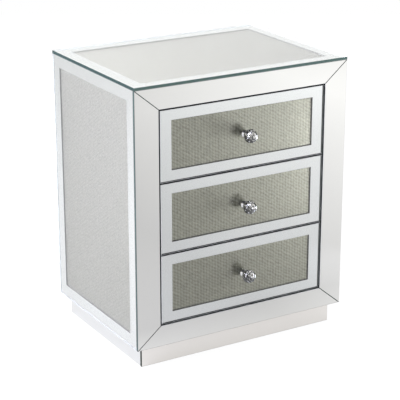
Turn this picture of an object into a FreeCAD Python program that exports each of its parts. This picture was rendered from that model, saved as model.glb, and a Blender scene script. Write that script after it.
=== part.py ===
"""Three-drawer bedside chest clad in mirrored glass, as a parametric document in millimetres.

The front faces -Y and +Z is up. The origin is on the floor, under the middle of the box that
holds the chest and its knobs.
"""
import FreeCAD, Part
import math
import operator
import os
from enum import IntEnum
from types import SimpleNamespace

import Sketcher

# Driving sizes
SIZES = {
    # case
    "case_width": 560.0,
    "case_depth": 406.0,
    "case_height": 668.0,
    "board_thickness": 15.0,
    "back_thickness": 5.0,
    "face_thickness": 18.0,
    # plinth
    "plinth_height": 52.0,
    "plinth_setback": 20.0,
    "plinth_floor_gap": 1.0,
    # glass
    "top_glass_thickness": 6.0,
    "mirror_thickness": 5.0,
    "arris": 0.8,
    "coating_thickness": 0.2,
    "bond_gap": 0.1,
    "pane_gap": 0.4,
    "mitre_gap": 0.6,
    # front
    "stile_width": 60.0,
    "front_rail_height": 50.0,
    "reveal": 3.0,
    # silvered borders round the woven panels
    "drawer_border_side": 30.0,
    "drawer_border_rail": 25.5,
    "side_border_side": 33.0,
    "side_border_rail": 30.0,
    "top_border": 34.0,
    "weave_thickness": 2.0,
    "weave_recess": 2.5,
    "weave_clearance": 0.2,
    # drawer box
    "drawer_board": 15.0,
    "box_thickness": 12.0,
    "box_rise": 18.0,
    "box_drop": 24.0,
    "box_rear_gap": 20.9,
    "box_bottom_thickness": 4.0,
    "groove_rise": 8.0,
    "groove_depth": 5.0,
    "groove_play": 0.2,
    # slides
    "drawer_travel": 260.0,
    "slide_space": 12.7,
    "slide_height": 35.0,
    "slide_setback": 5.0,
    "slide_gauge": 1.2,
    "slide_lip": 1.1,
    "slide_clearance": 1.0,
    "ball_diameter": 3.5,
    "ball_play": 0.15,
    "cage_gauge": 0.6,
    "cage_clearance": 0.35,
    "cage_length": 84.0,
    "batten_height": 45.0,
    "batten_overrun": 10.0,
    # knob
    "knob_projection": 40.0,
    "knob_diameter": 33.0,
    "crystal_base_diameter": 15.0,
    "crystal_table_diameter": 13.0,
    "neck_length": 13.0,
    "neck_foot_diameter": 17.0,
    "neck_foot_height": 2.5,
    "neck_waist_diameter": 10.5,
    "neck_cup_diameter": 16.0,
    "neck_cup_height": 3.0,
    "neck_floor": 4.75,
    "screw_diameter": 4.0,
    "screw_head_diameter": 8.0,
    "screw_head_height": 2.6,
    "screw_clearance": 0.25,
}

# Counts
DRAWER_NAMES = ("bottom", "middle", "top")
BALLS_PER_RACE = 3
BALL_FACETS = 8
BALL_STEPS = 4
CRYSTAL_FACETS = 10
CRYSTAL_BACK_STEPS = 2
CRYSTAL_FACE_STEPS = 2

# Angle from a ball's pole to its first ring of facets
BALL_POLE = math.radians(18)

SKETCH_PLANES = {"x": "YZ_Plane", "y": "XZ_Plane", "z": "XY_Plane"}
ARITHMETIC = {"+": operator.add, "-": operator.sub, "*": operator.mul, "/": operator.truediv}


class SketchPoint(IntEnum):
    """The numbers by which a sketch knows its root and the two ends of a line."""

    ROOT = -1
    START = 1
    END = 2


class Side(IntEnum):
    """The sign of X on each side of the chest."""

    LEFT = -1
    RIGHT = 1


SIDES = {"left": Side.LEFT, "right": Side.RIGHT}


class Size:
    """A length that carries its formula, so that arithmetic on it stays live in the document."""

    def __init__(self, formula, value):
        self.formula = formula
        self.value = value

    def __add__(self, other):
        return combined(self, "+", other)

    def __radd__(self, other):
        return combined(other, "+", self)

    def __sub__(self, other):
        return combined(self, "-", other)

    def __rsub__(self, other):
        return combined(other, "-", self)

    def __mul__(self, other):
        return combined(self, "*", other)

    def __rmul__(self, other):
        return combined(other, "*", self)

    def __truediv__(self, other):
        return combined(self, "/", other)

    def __neg__(self):
        return combined(-1, "*", self)


def as_size(amount):
    """A plain number as a Size; a Size is given back as it is."""
    if isinstance(amount, Size):
        return amount
    return Size(f"({float(amount)})", float(amount))


def combined(left, sign, right):
    """The Size that arithmetic on two amounts gives."""
    left = as_size(left)
    right = as_size(right)
    return Size(f"({left.formula} {sign} {right.formula})", ARITHMETIC[sign](left.value, right.value))


def write_sheet():
    """Put the driving sizes in a sheet and give them back by name."""
    sheet = document.addObject("Spreadsheet::Sheet", "Dims")
    for row, (name, value) in enumerate(SIZES.items(), start=1):
        sheet.set(f"A{row}", name)
        sheet.set(f"B{row}", str(value))
        sheet.setAlias(f"B{row}", name)
    document.recompute()
    return SimpleNamespace(**{name: Size(f"Dims.{name}", float(sheet.get(name))) for name in SIZES})


# Building blocks

def bind(thing, target, size):
    """Tie one value of a document object to its formula."""
    thing.setExpression(target, as_size(size).formula)


def place(thing, x, y, z):
    """Tie an object's position to three formulas."""
    for axis, amount in zip("xyz", (x, y, z)):
        bind(thing, f"Placement.Base.{axis}", amount)


def publish(thing):
    """Keep an object as one of the chest's pieces."""
    pieces.append(thing)
    return thing


def inset(span, amount):
    """A span drawn in by the same amount at both ends."""
    return span[0] + amount, span[1] - amount


def centred(half):
    """A span that reaches equally far to both sides of the middle."""
    return -half, half


def on_side(side, inner, outer):
    """The span between two distances from the middle, on the left or the right."""
    return (inner, outer) if side == Side.RIGHT else (-outer, -inner)


def board(label, x, y, z):
    """A rectangular board from its three (start, end) spans."""
    box = document.addObject("Part::Box", label)
    for edge, axis, (start, end) in zip(("Length", "Width", "Height"), "xyz", (x, y, z)):
        bind(box, edge, end - start)
        bind(box, f"Placement.Base.{axis}", start)
    return box


def cut(label, base, tool):
    """What is left of a piece once a tool is taken out of it."""
    result = document.addObject("Part::Cut", label)
    result.Base = base
    result.Tool = tool
    return result


def group(label, members):
    """Like pieces that are kept together as separate solids."""
    result = document.addObject("Part::Compound", label)
    result.Links = members
    return result


def trace(sketch, outline):
    """Draw a closed outline of straight lines, with every corner tied to its formulas."""
    corners = [FreeCAD.Vector(across.value, along.value, 0) for across, along in outline]
    for number, corner in enumerate(corners):
        following = (number + 1) % len(corners)
        sketch.addGeometry(Part.LineSegment(corner, corners[following]))
    for number, (across, along) in enumerate(outline):
        following = (number + 1) % len(outline)
        joined = (number, SketchPoint.END, following, SketchPoint.START)
        sketch.addConstraint(Sketcher.Constraint("Coincident", *joined))
        for kind, distance in (("DistanceX", across), ("DistanceY", along)):
            ends = (SketchPoint.ROOT, SketchPoint.START, number, SketchPoint.START)
            row = sketch.addConstraint(Sketcher.Constraint(kind, *ends, distance.value))
            bind(sketch, f"Constraints[{row}]", distance)


def sketched_body(label, axis, outline):
    """A body with one sketch that stands square to an axis."""
    body = document.addObject("PartDesign::Body", label)
    plane = next(item for item in body.Origin.OriginFeatures if item.Role == SKETCH_PLANES[axis])
    sketch = body.newObject("Sketcher::SketchObject", f"{label}_outline")
    sketch.AttachmentSupport = [(plane, "")]
    sketch.MapMode = "FlatFace"
    outline = [(as_size(across), as_size(along)) for across, along in outline]
    trace(sketch, outline)
    return body, sketch


def prism(label, axis, outline, span):
    """A body of one section, padded along an axis over a span."""
    body, sketch = sketched_body(label, axis, outline)
    start, end = span
    pad = body.newObject("PartDesign::Pad", f"{label}_pad")
    pad.Profile = sketch
    pad.Reversed = axis == "y"
    bind(pad, "Length", end - start)
    bind(body, f"Placement.Base.{axis}", start)
    return body


def turned(label, outline, y, z):
    """A turned piece on an axis along Y: outline corners are (radius, distance along Y)."""
    body, sketch = sketched_body(label, "z", outline)
    turn = body.newObject("PartDesign::Revolution", f"{label}_turn")
    turn.Profile = sketch
    turn.ReferenceAxis = (sketch, ["V_Axis"])
    turn.Angle = 360
    bind(body, "Placement.Base.y", y)
    bind(body, "Placement.Base.z", z)
    return body


def rectangle(across, along):
    """The four corners of two spans."""
    return [(across[0], along[0]), (across[1], along[0]), (across[1], along[1]), (across[0], along[1])]


def pane(label, axis, outline, span, shows_at_end):
    """A glass pane with a ground arris round the face that shows."""
    body = prism(label, axis, outline, span)
    document.recompute()
    blank = body.Tip
    reach = [getattr(face.CenterOfMass, axis) for face in blank.Shape.Faces]
    wanted = max(reach) if shows_at_end else min(reach)
    chamfer = body.newObject("PartDesign::Chamfer", f"{label}_arris")
    chamfer.Base = (blank, [f"Face{reach.index(wanted) + 1}"])
    bind(chamfer, "Size", d.arris)
    return body


def even_steps(start, end, steps):
    """Evenly spaced amounts from start to end, both counted."""
    return [start + (end - start) * step / steps for step in range(steps + 1)]


def facet_ring(radius, along, count, turned_half):
    """Corners of one ring of facets round an axis along Y, turned by half a facet if asked."""
    half_facet = math.pi / count
    turns = [half_facet * (2 * number + turned_half) for number in range(count)]
    return [FreeCAD.Vector(radius * math.cos(turn), along, radius * math.sin(turn)) for turn in turns]


def facet(corners):
    """One flat facet through its corners."""
    return Part.Face(Part.makePolygon(corners + corners[:1]))


def faceted_solid(label, rings, x, y, z):
    """A closed solid of flat facets between rings, each ring staggered to the one before."""
    facets = [facet(rings[0]), facet(rings[-1])]
    for level, (near, far) in enumerate(zip(rings, rings[1:])):
        lead = level % 2
        count = len(near)
        for number in range(count):
            following = (number + 1) % count
            facets.append(facet([near[number], near[following], far[(number + lead) % count]]))
            facets.append(facet([far[number], far[following], near[(number + 1 - lead) % count]]))
    solid = Part.Solid(Part.Shell(facets))
    if solid.Volume < 0:
        solid.reverse()
    piece = document.addObject("Part::Feature", label)
    piece.Shape = solid
    place(piece, x, y, z)
    return piece


# Levels that several pieces share

document = FreeCAD.newDocument("bedside_chest")
pieces = []
d = write_sheet()

half_case = d.case_width / 2
front = (d.knob_projection - d.case_depth) / 2
back = front + d.case_depth
mirror_back = front + d.mirror_thickness
case_front = mirror_back + d.bond_gap
face_back = case_front + d.face_thickness
panel_front = back - d.back_thickness
top_glass_under = d.case_height - d.top_glass_thickness
board_top = top_glass_under - d.bond_gap
board_under = board_top - d.board_thickness
side_outer = half_case - d.mirror_thickness - d.bond_gap
side_inner = side_outer - d.board_thickness
pane_top = top_glass_under - d.pane_gap
opening_half = half_case - d.stile_width
opening_bottom = d.plinth_height + d.front_rail_height
opening_top = top_glass_under - d.front_rail_height
drawer_half = opening_half - d.reveal
drawer_count = len(DRAWER_NAMES)
drawer_height = (opening_top - opening_bottom - (drawer_count + 1) * d.reveal) / drawer_count
drawer_step = drawer_height + d.reveal
box_half = opening_half - d.slide_space
box_front = case_front + d.drawer_board
box_end = panel_front - d.box_rear_gap
box_height = drawer_height - d.box_rise - d.box_drop
slide_front = box_front + d.slide_setback
slide_end = box_end - d.slide_setback
weave_depth = d.weave_recess + d.weave_thickness
screw_grip = d.neck_length - d.neck_floor - d.screw_clearance


def drawer_bottom(number):
    """Height of a drawer front's lower edge, counted from the lowest drawer."""
    return opening_bottom + d.reveal + number * drawer_step


def slide_height_of(number):
    """Height of the middle of a drawer's slides, halfway up its box."""
    return drawer_bottom(number) + d.box_rise + box_height / 2


# Case

def build_sides():
    """Side boards with their pocketed woven panels and one glass sheet each."""
    board_y = (case_front, panel_front)
    board_z = (d.plinth_height, board_under)
    glass_y = (mirror_back + d.pane_gap, back)
    glass_z = (d.plinth_height, pane_top)
    window_y = inset((mirror_back, back), d.side_border_side)
    window_z = inset((d.plinth_height, top_glass_under), d.side_border_rail)
    glass_inner = half_case - d.mirror_thickness
    for name, side in SIDES.items():
        blank = board(f"side_blank_{name}", on_side(side, side_inner, side_outer), board_y, board_z)
        pocket_x = on_side(side, side_outer - weave_depth, side_outer + d.bond_gap)
        pocket = board(f"side_pocket_{name}", pocket_x, window_y, window_z)
        publish(cut(f"side_board_{name}", blank, pocket))
        weave_x = on_side(side, side_outer - weave_depth, side_outer - d.weave_recess)
        weave_y = inset(window_y, d.weave_clearance)
        publish(board(f"side_weave_{name}", weave_x, weave_y, inset(window_z, d.weave_clearance)))
        sheet_x = on_side(side, glass_inner, half_case)
        sheet = pane(f"side_sheet_{name}", "x", rectangle(glass_y, glass_z), sheet_x, side == Side.RIGHT)
        etch_x = on_side(side, glass_inner - d.bond_gap, glass_inner + d.coating_thickness)
        etch = board(f"side_etch_{name}", etch_x, window_y, window_z)
        publish(cut(f"side_glass_{name}", sheet, etch))


def build_top():
    """Top board with its woven panel under one glass sheet."""
    window_x = inset(centred(half_case), d.top_border)
    window_y = inset((front, back), d.top_border)
    blank = board("top_blank", centred(side_outer), (case_front, panel_front), (board_under, board_top))
    pocket = board("top_pocket", window_x, window_y, (board_top - weave_depth, board_top + d.bond_gap))
    publish(cut("top_board", blank, pocket))
    weave_x = inset(window_x, d.weave_clearance)
    weave_y = inset(window_y, d.weave_clearance)
    publish(board("top_weave", weave_x, weave_y, (board_top - weave_depth, board_top - d.weave_recess)))
    outline = rectangle(centred(half_case), (front, back))
    sheet = pane("top_sheet", "z", outline, (top_glass_under, d.case_height), True)
    etch_z = (top_glass_under - d.bond_gap, top_glass_under + d.coating_thickness)
    publish(cut("top_glass", sheet, board("top_etch", window_x, window_y, etch_z)))


def build_carcass():
    """Bottom board, back panel and the face frame behind the front mirrors."""
    floor_z = (d.plinth_height, d.plinth_height + d.board_thickness)
    publish(board("bottom_board", centred(side_inner), (face_back, panel_front), floor_z))
    publish(board("back_panel", centred(side_outer), (panel_front, back), (d.plinth_height, board_top)))
    face_y = (case_front, face_back)
    for name, side in SIDES.items():
        stile_x = on_side(side, opening_half, side_inner)
        publish(board(f"face_stile_{name}", stile_x, face_y, (d.plinth_height, board_under)))
    rail_x = centred(opening_half)
    publish(board("face_rail_top", rail_x, face_y, (opening_top, board_under)))
    publish(board("face_rail_bottom", rail_x, face_y, (d.plinth_height, opening_bottom)))


def build_front_mirrors():
    """Four mitred mirrors round the drawers, with an open seam at each mitre."""
    span = (front, mirror_back)
    for name, side in SIDES.items():
        outline = [
            (side * half_case, d.plinth_height),
            (side * half_case, pane_top),
            (side * opening_half, opening_top),
            (side * opening_half, opening_bottom),
        ]
        publish(pane(f"frame_mirror_{name}", "y", outline, span, False))
    outer = half_case - d.mitre_gap
    inner = opening_half - d.mitre_gap
    for name, outer_z, inner_z in (
        ("top", pane_top, opening_top),
        ("bottom", d.plinth_height, opening_bottom),
    ):
        outline = [(-outer, outer_z), (outer, outer_z), (inner, inner_z), (-inner, inner_z)]
        publish(pane(f"frame_mirror_{name}", "y", outline, span, False))


def build_plinth():
    """Recessed plinth: four boards that carry the case, and mirrors on the three sides that show."""
    plinth_half = half_case - d.plinth_setback
    plinth_front = front + d.plinth_setback
    plinth_back = back - d.plinth_setback
    board_half = plinth_half - d.mirror_thickness - d.bond_gap
    front_board_y = plinth_front + d.mirror_thickness + d.bond_gap
    front_board_back = front_board_y + d.board_thickness
    back_board_y = plinth_back - d.board_thickness
    height = (as_size(0), d.plinth_height)
    publish(board("plinth_front", centred(board_half), (front_board_y, front_board_back), height))
    publish(board("plinth_back", centred(board_half), (back_board_y, plinth_back), height))
    side_y = (front_board_back, back_board_y)
    boards = []
    for name, side in SIDES.items():
        side_x = on_side(side, board_half - d.board_thickness, board_half)
        boards.append(board(f"plinth_side_{name}", side_x, side_y, height))
    publish(group("plinth_sides", boards))
    mirror_z = (d.plinth_floor_gap, d.plinth_height - d.pane_gap)
    front_outline = rectangle(centred(plinth_half), mirror_z)
    front_span = (plinth_front, plinth_front + d.mirror_thickness)
    publish(pane("plinth_mirror_front", "y", front_outline, front_span, False))
    side_outline = rectangle((front_span[1] + d.pane_gap, plinth_back), mirror_z)
    for name, side in SIDES.items():
        span = on_side(side, plinth_half - d.mirror_thickness, plinth_half)
        publish(pane(f"plinth_mirror_{name}", "x", side_outline, span, side == Side.RIGHT))


# Slides: depths are measured from the batten towards the drawer

ball_gap = d.ball_diameter + 2 * d.ball_play
channel_half = d.slide_height / 2
channel_race = channel_half - d.slide_gauge
channel_tip = d.slide_space - d.slide_gauge - d.slide_clearance
rail_half = channel_race - ball_gap
rail_tip = d.slide_gauge + d.cage_gauge + 2 * d.cage_clearance
ball_height = channel_race - ball_gap / 2
ball_depth = (rail_tip + channel_tip) / 2
cage_start = slide_front + d.drawer_travel / 2 + d.cage_clearance


def channel_section():
    """Upper half of the fixed channel: a web, a flange and a lip that turns in."""
    lip = channel_race - d.slide_lip
    return [
        (d.slide_gauge, channel_race),
        (channel_tip - d.slide_gauge, channel_race),
        (channel_tip - d.slide_gauge, lip),
        (channel_tip, lip),
        (channel_tip, channel_half),
        (as_size(0), channel_half),
    ]


def rail_section():
    """Upper half of the moving rail: a web, a flange and a lip that turns out."""
    lip = rail_half + d.slide_lip
    under = rail_half - d.slide_gauge
    return [
        (d.slide_space - d.slide_gauge, under),
        (rail_tip, under),
        (rail_tip, lip),
        (rail_tip + d.slide_gauge, lip),
        (rail_tip + d.slide_gauge, rail_half),
        (d.slide_space, rail_half),
    ]


def cage_section():
    """Upper half of the ball cage: a web behind the rail and a flange that holds the balls."""
    web = d.slide_gauge + d.cage_clearance
    tip = channel_tip - d.slide_gauge - d.cage_clearance
    return [
        (web + d.cage_gauge, ball_height - d.cage_gauge / 2),
        (tip, ball_height - d.cage_gauge / 2),
        (tip, ball_height + d.cage_gauge / 2),
        (web, ball_height + d.cage_gauge / 2),
    ]


def slide_member(label, side, middle, upper_half, span):
    """One rolled member of a slide, from the upper half of its section."""
    lower_half = [(depth, -rise) for depth, rise in reversed(upper_half)]
    outline = [
        (side * (opening_half - depth), middle + rise) for depth, rise in upper_half + lower_half
    ]
    return prism(label, "y", outline, span)


def build_slide_supports():
    """Battens inside the case behind the stiles, and the fixed channels that they carry."""
    battens = []
    channels = []
    batten_y = (face_back, slide_end + d.batten_overrun)
    for number, drawer in enumerate(DRAWER_NAMES):
        middle = slide_height_of(number)
        batten_z = inset((middle, middle), -d.batten_height / 2)
        for name, side in SIDES.items():
            batten_x = on_side(side, opening_half, side_inner)
            battens.append(board(f"batten_{drawer}_{name}", batten_x, batten_y, batten_z))
            label = f"channel_{drawer}_{name}"
            channels.append(slide_member(label, side, middle, channel_section(), (slide_front, slide_end)))
    publish(group("runner_battens", battens))
    publish(group("slide_channels", channels))


def ball_places():
    """Distances along Y at which the cage holds its balls."""
    pitch = d.cage_length / BALLS_PER_RACE
    return [cage_start + pitch / 2 + number * pitch for number in range(BALLS_PER_RACE)]


def ball(label, x, y, z):
    """One bearing ball, with few facets."""
    radius = d.ball_diameter.value / 2
    angles = even_steps(BALL_POLE, math.pi - BALL_POLE, BALL_STEPS)
    rings = []
    for level, angle in enumerate(angles):
        along = radius * math.cos(angle)
        rings.append(facet_ring(radius * math.sin(angle), along, BALL_FACETS, level % 2 == 1))
    return faceted_solid(label, rings, x, y, z)


def ball_cage(label, side, middle):
    """One pierced cage and the balls that run above and below the moving rail."""
    cage_y = (cage_start, cage_start + d.cage_length)
    strip = slide_member(f"{label}_strip", side, middle, cage_section(), cage_y)
    across = side * (opening_half - ball_depth)
    reach = d.ball_diameter / 2 + d.ball_play
    pocket_z = inset((middle, middle), -channel_half)
    pockets = []
    balls = []
    for number, along in enumerate(ball_places()):
        pocket_x = inset((across, across), -reach)
        pockets.append(board(f"{label}_pocket_{number}", pocket_x, inset((along, along), -reach), pocket_z))
        for level, rise in (("upper", ball_height), ("lower", -ball_height)):
            balls.append(ball(f"{label}_ball_{level}_{number}", across, along, middle + rise))
    return [cut(f"{label}_pierced", strip, group(f"{label}_pockets", pockets))] + balls


# Knob

def neck_outline():
    """Turned neck: a foot on the glass, a narrow waist, a cup for the crystal and a blind bore."""
    bore = d.screw_diameter / 2 + d.screw_clearance / 2
    bore_end = -(screw_grip + d.screw_clearance)
    foot = d.neck_foot_diameter / 2
    waist = d.neck_waist_diameter / 2
    cup = d.neck_cup_diameter / 2
    cup_start = -(d.neck_length - d.neck_cup_height)
    return [
        (bore, 0),
        (foot, 0),
        (foot, -d.neck_foot_height),
        (waist, (cup_start - d.neck_foot_height) / 2),
        (cup, cup_start),
        (cup, -d.neck_length),
        (0, -d.neck_length),
        (0, bore_end),
        (bore, bore_end),
    ]


def screw_outline(thread_end):
    """Machine screw from inside the drawer, with its head against the front board."""
    shank = d.screw_diameter / 2
    head = d.screw_head_diameter / 2
    return [
        (0, thread_end),
        (shank, thread_end),
        (shank, 0),
        (head, 0),
        (head, d.screw_head_height),
        (0, d.screw_head_height),
    ]


def cut_crystal(label, y, z):
    """Cut-crystal head: rings of facets from a flat base, over the girdle, to a flat table."""
    radius = d.knob_diameter.value / 2
    base_angle = math.asin(d.crystal_base_diameter.value / d.knob_diameter.value)
    table_angle = math.pi - math.asin(d.crystal_table_diameter.value / d.knob_diameter.value)
    girdle_angle = math.pi / 2
    angles = even_steps(base_angle, girdle_angle, CRYSTAL_BACK_STEPS)
    angles += even_steps(girdle_angle, table_angle, CRYSTAL_FACE_STEPS)[1:]
    length = (d.knob_projection - d.neck_length - d.bond_gap).value
    stretch = length / (math.cos(base_angle) - math.cos(table_angle))
    rings = []
    for level, angle in enumerate(angles):
        along = stretch * (math.cos(angle) - math.cos(base_angle))
        rings.append(facet_ring(radius * math.sin(angle), along, CRYSTAL_FACETS, level % 2 == 1))
    return faceted_solid(label, rings, as_size(0), y, z)


# Drawers

def screw_hole(label, z):
    """The clearance hole for the knob screw, right through a drawer's dressed front."""
    hole = document.addObject("Part::Cylinder", label)
    bind(hole, "Radius", d.screw_diameter / 2 + d.screw_clearance)
    bind(hole, "Height", d.mirror_thickness + d.bond_gap + d.drawer_board)
    hole.Placement = FreeCAD.Placement(FreeCAD.Vector(), FreeCAD.Rotation(FreeCAD.Vector(1, 0, 0), -90))
    place(hole, as_size(0), front, z)
    return hole


def build_drawer_front(drawer, number):
    """Front board with its woven panel under one glass sheet, all drilled for the knob screw."""
    bottom = drawer_bottom(number)
    middle = bottom + drawer_height / 2
    front_x = centred(drawer_half)
    front_z = (bottom, bottom + drawer_height)
    window_x = inset(front_x, d.drawer_border_side)
    window_z = inset(front_z, d.drawer_border_rail)

    blank = board(f"front_blank_{drawer}", front_x, (case_front, box_front), front_z)
    pocket_y = (case_front - d.bond_gap, case_front + weave_depth)
    pocket = board(f"front_pocket_{drawer}", window_x, pocket_y, window_z)
    pocketed = cut(f"front_pocketed_{drawer}", blank, pocket)
    publish(cut(f"drawer_front_{drawer}", pocketed, screw_hole(f"front_hole_{drawer}", middle)))

    weave_y = (case_front + d.weave_recess, case_front + weave_depth)
    weave_x = inset(window_x, d.weave_clearance)
    weave = board(f"weave_blank_{drawer}", weave_x, weave_y, inset(window_z, d.weave_clearance))
    publish(cut(f"drawer_weave_{drawer}", weave, screw_hole(f"weave_hole_{drawer}", middle)))

    sheet = pane(f"drawer_sheet_{drawer}", "y", rectangle(front_x, front_z), (front, mirror_back), False)
    etch_y = (mirror_back - d.coating_thickness, case_front)
    etch = board(f"drawer_etch_{drawer}", window_x, etch_y, window_z)
    etched = cut(f"drawer_etched_{drawer}", sheet, etch)
    publish(cut(f"drawer_glass_{drawer}", etched, screw_hole(f"glass_hole_{drawer}", middle)))


def build_drawer_box(drawer, number):
    """Two grooved sides, a back and a bottom that slides in under the back."""
    low = drawer_bottom(number) + d.box_rise
    side_z = (low, low + box_height)
    box_y = (box_front, box_end)
    inside = box_half - d.box_thickness
    panel_under = low + d.groove_rise
    panel_top = panel_under + d.box_bottom_thickness
    sides = []
    for name, side in SIDES.items():
        blank = board(f"box_blank_{drawer}_{name}", on_side(side, inside, box_half), box_y, side_z)
        groove_x = on_side(side, inside - d.groove_play, inside + d.groove_depth)
        groove_z = (panel_under, panel_top + d.groove_play)
        groove = board(f"box_groove_{drawer}_{name}", groove_x, box_y, groove_z)
        sides.append(cut(f"box_side_{drawer}_{name}", blank, groove))
    publish(group(f"drawer_sides_{drawer}", sides))
    bottom_x = centred(inside + d.groove_depth - d.groove_play)
    publish(board(f"drawer_bottom_{drawer}", bottom_x, box_y, (panel_under, panel_top)))
    back_y = (box_end - d.box_thickness, box_end)
    publish(board(f"drawer_back_{drawer}", centred(inside), back_y, (panel_top, side_z[1])))


def build_knob(drawer, number):
    """Crystal head on a turned neck, held by a screw from inside the drawer."""
    middle = drawer_bottom(number) + drawer_height / 2
    publish(turned(f"knob_neck_{drawer}", neck_outline(), front, middle))
    publish(cut_crystal(f"knob_crystal_{drawer}", front - d.neck_length - d.bond_gap, middle))
    thread_end = front - box_front - screw_grip
    publish(turned(f"knob_screw_{drawer}", screw_outline(thread_end), box_front, middle))


def build_drawer_slides(drawer, number):
    """The moving rails on the drawer box, and the ball cages between them and the channels."""
    middle = slide_height_of(number)
    rails = []
    cages = []
    for name, side in SIDES.items():
        label = f"rail_{drawer}_{name}"
        rails.append(slide_member(label, side, middle, rail_section(), (slide_front, slide_end)))
        cages.extend(ball_cage(f"cage_{drawer}_{name}", side, middle))
    publish(group(f"slide_rails_{drawer}", rails))
    publish(group(f"ball_cages_{drawer}", cages))


# Finished pieces

def check_document():
    """Stop if any object failed to build or any piece has a bad shape."""
    for thing in document.Objects:
        if "Invalid" in thing.State or "Error" in thing.State:
            raise RuntimeError(f"{thing.Label} did not build: {thing.State}")
    for piece in pieces:
        if piece.Shape.isNull() or not piece.Shape.isValid():
            raise RuntimeError(f"{piece.Label} has a bad shape")


def write_pieces():
    """Write each piece to its own file, named by its label."""
    os.makedirs("parts", exist_ok=True)
    for piece in pieces:
        piece.Shape.exportStep(f"parts/{piece.Label}.step")
        print(f"{piece.Label}: {len(piece.Shape.Solids)} solids, {piece.Shape.Volume:.1f} mm3")


def main():
    """Build the chest from the case outwards and write its pieces."""
    build_sides()
    build_top()
    build_carcass()
    build_front_mirrors()
    build_plinth()
    build_slide_supports()
    for number, drawer in enumerate(DRAWER_NAMES):
        build_drawer_front(drawer, number)
        build_drawer_box(drawer, number)
        build_knob(drawer, number)
        build_drawer_slides(drawer, number)
    document.recompute()
    check_document()
    write_pieces()


main()
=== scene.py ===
"""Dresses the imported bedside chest: mirrored glass, woven panels, crystal knobs, drawers and slides.

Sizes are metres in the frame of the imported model: the front faces -Y and +Z is up.
"""
import logging
import math
from collections.abc import Iterator
from dataclasses import dataclass
from enum import Enum

import bmesh
import bpy
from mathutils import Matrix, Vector


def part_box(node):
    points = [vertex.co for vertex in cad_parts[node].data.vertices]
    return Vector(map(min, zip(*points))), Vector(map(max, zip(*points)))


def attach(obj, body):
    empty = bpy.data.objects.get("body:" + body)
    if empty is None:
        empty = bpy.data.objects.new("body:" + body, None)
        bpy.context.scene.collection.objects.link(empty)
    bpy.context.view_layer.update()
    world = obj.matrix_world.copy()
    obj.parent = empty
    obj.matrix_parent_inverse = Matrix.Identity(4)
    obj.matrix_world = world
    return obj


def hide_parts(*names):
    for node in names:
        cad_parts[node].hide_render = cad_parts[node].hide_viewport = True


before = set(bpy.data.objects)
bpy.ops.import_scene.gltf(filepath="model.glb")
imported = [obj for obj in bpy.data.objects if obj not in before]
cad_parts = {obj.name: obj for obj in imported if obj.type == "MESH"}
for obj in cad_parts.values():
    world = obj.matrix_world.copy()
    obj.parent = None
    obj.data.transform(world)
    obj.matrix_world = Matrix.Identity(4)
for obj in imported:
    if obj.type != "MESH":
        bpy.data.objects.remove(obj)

LOG = logging.getLogger("chest")
MILLIMETRE = 0.001
GLASS_IOR = 1.5
PAINTED_WEAVE_SHADING = "painted_weave_shading"
DRAWER_NAMES = ("bottom", "middle", "top")
SIDE_NAMES = ("left", "right")
PHOTO_TURN_DEGREES = -30.68

Colour = tuple[float, float, float]
Point = tuple[float, float, float]
Sockets = dict[str, bpy.types.NodeSocket]

LEFT: Point = (-1.0, 0.0, 0.0)
RIGHT: Point = (1.0, 0.0, 0.0)
FRONT: Point = (0.0, -1.0, 0.0)
UP: Point = (0.0, 0.0, 1.0)
DOWN: Point = (0.0, 0.0, -1.0)


# Shader building blocks

# The numbers of the Mix node's colour sockets
MIX_FIRST = 6
MIX_SECOND = 7
MIX_RESULT = 2


class NodeSheet:
    """A node tree with short calls for adding and joining nodes."""

    def __init__(self, tree: bpy.types.NodeTree) -> None:
        """Keeps the tree that the calls work on."""
        self.tree = tree

    def fill(self, socket: bpy.types.NodeSocket, value: object) -> None:
        """Joins an input to an output socket, or sets the input's own value.

        Args:
            socket: The input.
            value: An output socket, a colour or a plain value.
        """
        if isinstance(value, bpy.types.NodeSocket):
            self.tree.links.new(value, socket)
        elif socket.type == "RGBA":
            socket.default_value = (*value, 1.0)
        else:
            socket.default_value = value

    def add(self, kind: str, inputs: dict | None = None, **settings: object) -> bpy.types.Node:
        """Adds a node.

        Args:
            kind: The node's type without its ShaderNode prefix.
            inputs: Values or output sockets, by input name or number.
            settings: Attributes of the node.

        Returns:
            The new node.
        """
        node = self.tree.nodes.new(f"ShaderNode{kind}")
        for name, value in settings.items():
            setattr(node, name, value)
        for name, value in (inputs or {}).items():
            self.fill(node.inputs[name], value)
        return node

    def math(self, operation: str, *values: object) -> bpy.types.NodeSocket:
        """Adds arithmetic on two or three values and gives its result."""
        return self.add("Math", dict(enumerate(values)), operation=operation).outputs[0]

    def blend(self, share: object, first: object, second: object) -> bpy.types.NodeSocket:
        """Adds a mix of two colours and gives its result."""
        inputs = {"Factor": share, MIX_FIRST: first, MIX_SECOND: second}
        return self.add("Mix", inputs, data_type="RGBA").outputs[MIX_RESULT]

    def ramp(
        self, value: object, start: float, end: float, low: object = 0.0, high: object = 1.0,
    ) -> bpy.types.NodeSocket:
        """Adds a map from start..end to low..high, which stops at its ends, and gives its result."""
        inputs = {"Value": value, "From Min": start, "From Max": end, "To Min": low, "To Max": high}
        return self.add("MapRange", inputs).outputs[0]

    def noise(self, place: object, scale: object, detail: float) -> bpy.types.NodeSocket:
        """Adds a noise pattern and gives its value."""
        return self.add("TexNoise", {"Vector": place, "Scale": scale, "Detail": detail}).outputs[0]

    def place(self) -> bpy.types.NodeSocket:
        """Gives the place on the object, in metres."""
        return self.add("TexCoord").outputs["Object"]

    def scaled_place(self, scale: Point) -> bpy.types.NodeSocket:
        """Gives the place on the object, scaled along each axis."""
        return self.add("Mapping", {"Vector": self.place(), "Scale": scale}).outputs[0]


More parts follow.
